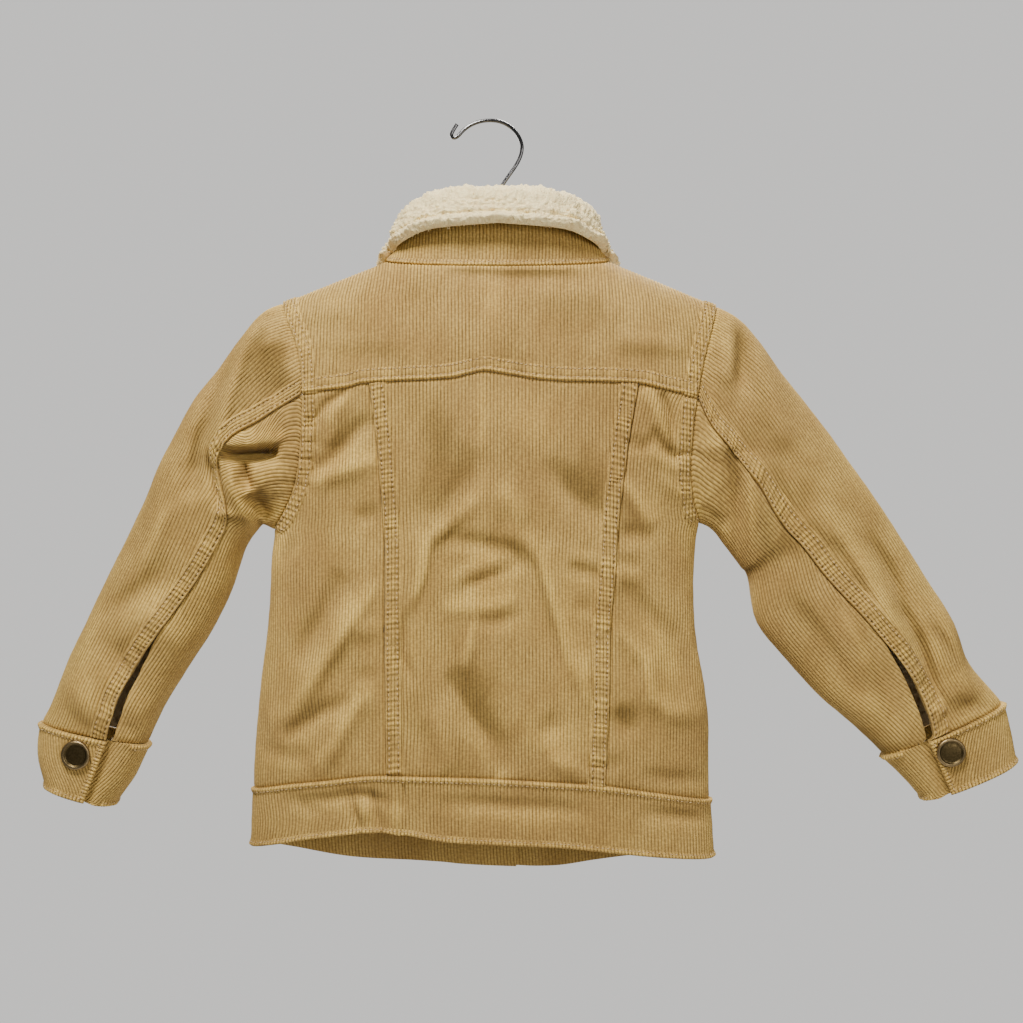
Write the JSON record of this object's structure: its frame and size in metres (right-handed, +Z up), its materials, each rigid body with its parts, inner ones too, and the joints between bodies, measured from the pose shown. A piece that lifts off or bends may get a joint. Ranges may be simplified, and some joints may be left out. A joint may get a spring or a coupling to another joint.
{
  "type": "sherpa lined jacket on a hanger",
  "caption": "Child's corduroy trucker jacket with a sherpa collar, buttoned and hanging on a shaped hanger with a wire hook.",
  "frame": {"origin": "inside top of the hook's crook, where it rests on the rod or peg that holds it", "axes": "+Z up, -Y towards the jacket's front, +X towards the wearer's left sleeve"},
  "size_m": [0.662, 0.0863, 0.5153],
  "materials": {
    "corduroy": "cotton corduroy with a soft nap and fine wales",
    "sherpa": "short curled cream pile",
    "brass": "antiqued, dark and satin with a brighter rim",
    "hook_wire": "bright plated wire",
    "hanger_board": "plain satin varnish"
  },
  "bodies": {
    "root": {"yoke_back": "corduroy", "back_centre": "corduroy", "back_side_left": "corduroy", "back_side_right": "corduroy", "front_left": "corduroy", "front_right": "corduroy", "waistband": "corduroy", "sleeve_upper_left": "corduroy", "sleeve_under_left": "corduroy", "cuff_left": "corduroy", "sleeve_upper_right": "corduroy", "sleeve_under_right": "corduroy", "cuff_right": "corduroy", "collar_sherpa": "sherpa", "collar_under": "corduroy", "hanger": "hanger_board", "hanger_hook": "hook_wire", "button_front_1": "brass", "button_front_2": "brass", "button_front_3": "brass", "button_front_4": "brass", "button_front_5": "brass", "button_waistband": "brass", "button_cuff_left": "brass", "button_cuff_right": "brass"}
  },
  "joints": []
}
